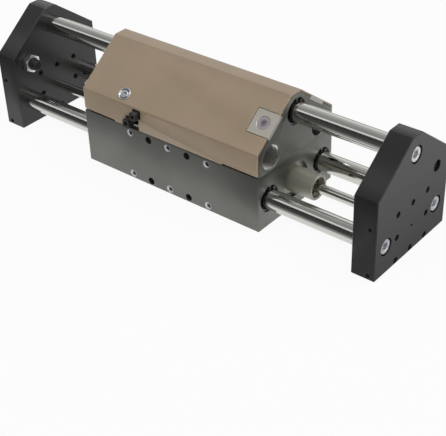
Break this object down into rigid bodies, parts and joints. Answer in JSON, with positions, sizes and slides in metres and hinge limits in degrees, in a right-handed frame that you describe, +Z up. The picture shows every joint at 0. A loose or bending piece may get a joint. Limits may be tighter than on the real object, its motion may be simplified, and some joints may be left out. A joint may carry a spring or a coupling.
{
  "type": "linear module",
  "caption": "Pneumatic linear module: a fixed housing guides two joined end plates on round shafts in a triangle and drives them with a double-ended piston rod.",
  "frame": {"origin": "centre of the housing's underside", "axes": "+X along the travel towards the plate that carries the pictured outer face, +Y towards the far side, away from the sensors, +Z up"},
  "size_m": [0.485, 0.126, 0.125],
  "materials": {
    "grey_anodised": "hard anodised, satin grey",
    "tan_enamel": "tan coating on sheet, fine satin",
    "black_anodised": "black anodised, satin",
    "hard_chrome": "hardened, ground and polished",
    "bearing_steel": "ground",
    "zinc_steel": "bright zinc plated",
    "black_steel": "black oxide",
    "black_spring_steel": "phosphated spring steel",
    "black_rubber": "nitrile rubber",
    "bearing_bronze": "sintered bronze",
    "natural_plastic": "natural polyethylene",
    "plain_aluminium": "machined",
    "black_plastic": "moulded, fine texture"
  },
  "bodies": {
    "housing": {"absorber_body_left": "black_steel", "absorber_body_right": "black_steel", "bearing_front_left": "bearing_steel", "bearing_front_right": "bearing_steel", "bearing_rear_left": "bearing_steel", "bearing_rear_right": "bearing_steel", "bearing_rings": "black_spring_steel", "bearing_top_left": "bearing_steel", "bearing_top_right": "bearing_steel", "cap_rings": "black_spring_steel", "cover": "tan_enamel", "end_cap_left": "grey_anodised", "end_cap_right": "grey_anodised", "lock_screws": "zinc_steel", "lower_housing": "grey_anodised", "port_plugs": "natural_plastic", "rod_bushes": "bearing_bronze", "rod_wipers": "black_rubber", "sensor_clamps": "black_plastic", "sensor_rail": "plain_aluminium", "sensors": "black_plastic", "upper_housing": "grey_anodised"},
    "carriage": {"plate_left": "black_anodised", "plate_right": "black_anodised", "shaft_top": "hard_chrome", "shaft_front": "hard_chrome", "shaft_rear": "hard_chrome", "piston_rod": "hard_chrome", "piston": "plain_aluminium", "piston_seals": "black_rubber", "shaft_screws": "zinc_steel", "stop_screws": "black_steel", "stop_nuts": "zinc_steel"},
    "plunger_right": {"absorber_plunger_right": "hard_chrome"},
    "plunger_left": {"absorber_plunger_left": "hard_chrome"}
  },
  "joints": [
    {"name": "carriage_slide", "type": "slide", "parent": "housing", "child": "carriage", "axis": [1, 0, 0], "range_m": [-0.075, 0.075]},
    {"name": "plunger_right_press", "type": "slide", "parent": "housing", "child": "plunger_right", "axis": [-1, 0, 0], "range_m": [0, 0.02], "stiffness_N_per_m": 200},
    {"name": "plunger_left_press", "type": "slide", "parent": "housing", "child": "plunger_left", "axis": [1, 0, 0], "range_m": [0, 0.02], "stiffness_N_per_m": 200}
  ]
}
